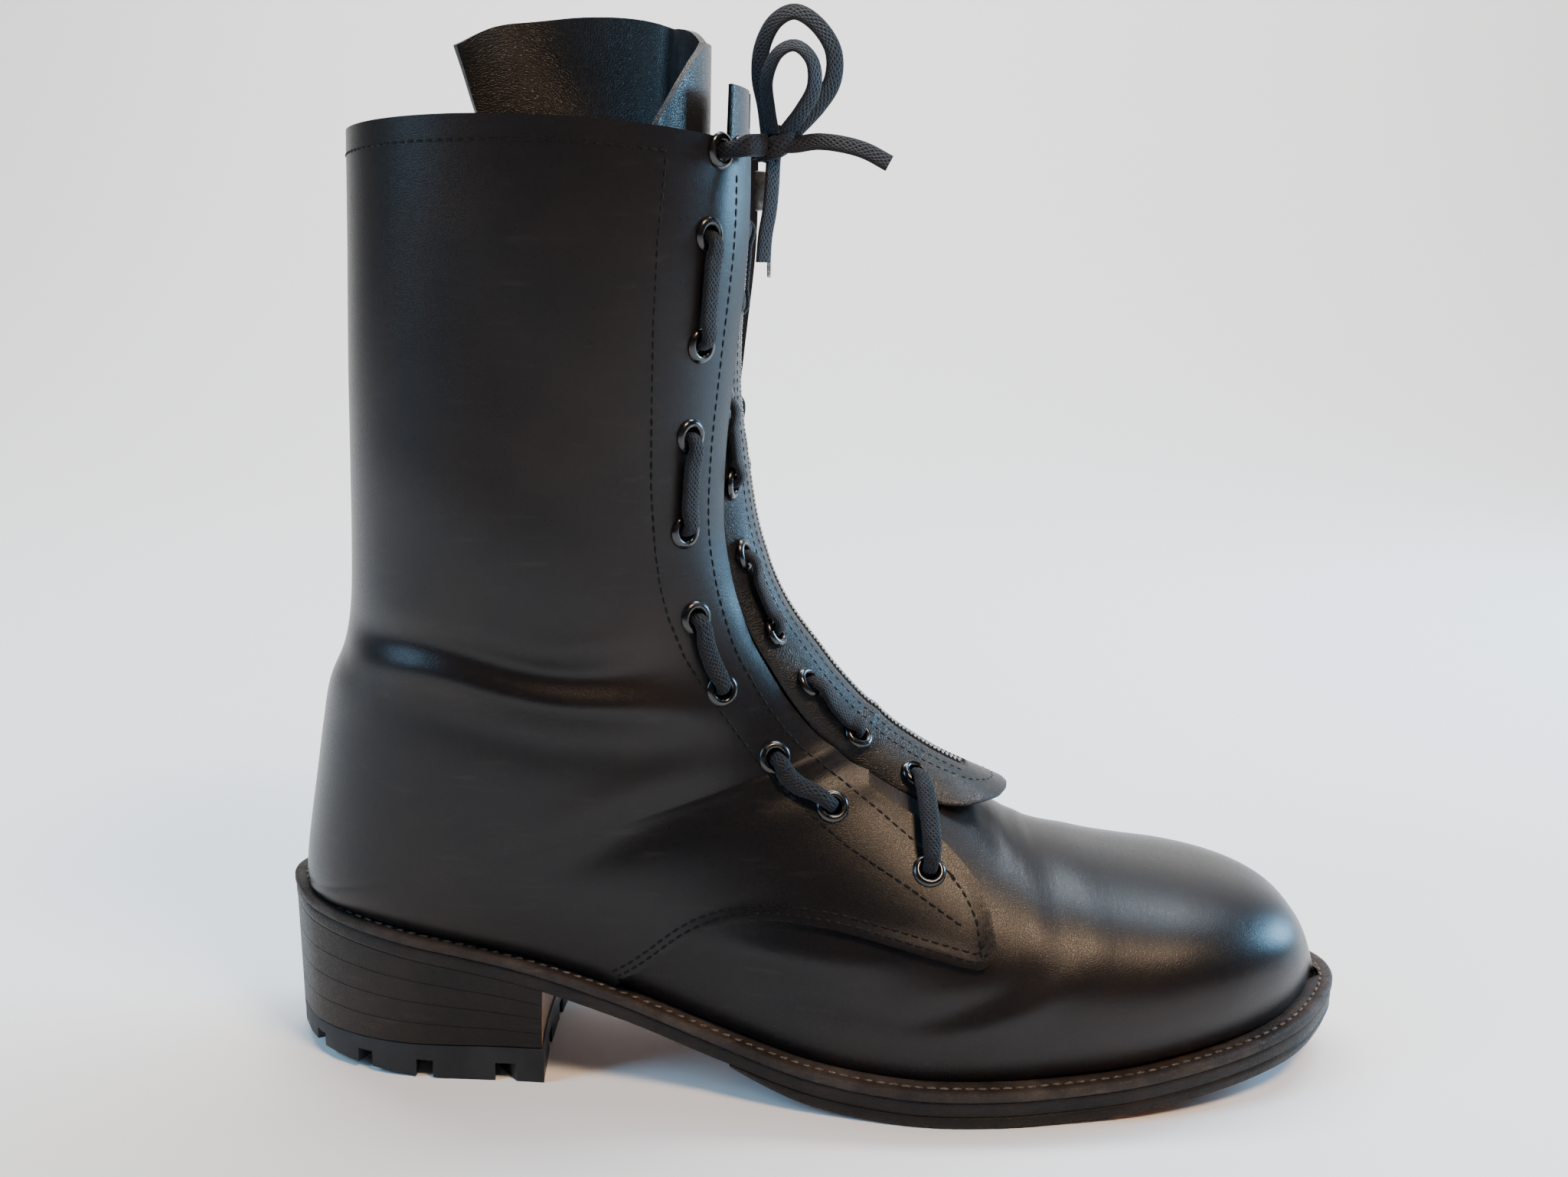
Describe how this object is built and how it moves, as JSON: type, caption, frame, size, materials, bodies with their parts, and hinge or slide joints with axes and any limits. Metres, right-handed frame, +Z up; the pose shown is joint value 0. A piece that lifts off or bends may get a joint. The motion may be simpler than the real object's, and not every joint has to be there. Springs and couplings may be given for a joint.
{
  "type": "combat boot",
  "caption": "Tall lace-up leather combat boot for the right foot, with a laced-in zip panel, welted leather sole and lugged rubber heel.",
  "frame": {"origin": "centre of the boot's box on the ground, between the flats under the heel and the ball", "axes": "+X from heel to toe, +Y towards the inner (medial) side, +Z up"},
  "size_m": [0.3, 0.1088, 0.2892],
  "materials": {
    "black_leather": "smooth satin black",
    "lining_leather": "plain undyed",
    "sole_edge_leather": "waxed dark edge",
    "sole_leather": "worn russet",
    "heel_leather": "stacked, edge dyed black",
    "rubber": "matt black",
    "black_enamel": "gloss black",
    "lace": "braided black",
    "zip_metal": "dull grey"
  },
  "bodies": {
    "boot": {"welt": "sole_edge_leather", "outsole": "sole_edge_leather", "half_sole": "sole_leather", "heel_lift_1": "heel_leather", "heel_lift_2": "heel_leather", "heel_lift_3": "heel_leather", "heel_lift_4": "heel_leather", "heel_top_piece": "rubber", "upper": "black_leather", "eyelet_lateral_1": "black_enamel", "eyelet_lateral_2": "black_enamel", "eyelet_lateral_3": "black_enamel", "eyelet_lateral_4": "black_enamel", "eyelet_lateral_5": "black_enamel", "eyelet_lateral_6": "black_enamel", "eyelet_lateral_7": "black_enamel", "eyelet_lateral_8": "black_enamel", "eyelet_lateral_9": "black_enamel", "eyelet_lateral_10": "black_enamel", "eyelet_medial_1": "black_enamel", "eyelet_medial_2": "black_enamel", "eyelet_medial_3": "black_enamel", "eyelet_medial_4": "black_enamel", "eyelet_medial_5": "black_enamel", "eyelet_medial_6": "black_enamel", "eyelet_medial_7": "black_enamel", "eyelet_medial_8": "black_enamel", "eyelet_medial_9": "black_enamel", "eyelet_medial_10": "black_enamel", "insole": "lining_leather", "zip_panel": "black_leather", "zip_teeth": "zip_metal", "zip_slider": "zip_metal", "tongue": "black_leather", "lace_lateral": "lace", "lace_medial": "lace", "bow_knot": "lace", "bow_loop_1": "lace", "bow_loop_2": "lace", "bow_end_1": "lace", "bow_end_2": "lace"},
    "pull_tab": {"pull_tab": "zip_metal"}
  },
  "joints": [
    {"name": "pull_tab_hinge", "type": "hinge", "parent": "boot", "child": "pull_tab", "pos_m": [-0.01561, 0.00052, 0.23701], "axis": [0, -1, 0], "range_deg": [0, 150]}
  ]
}
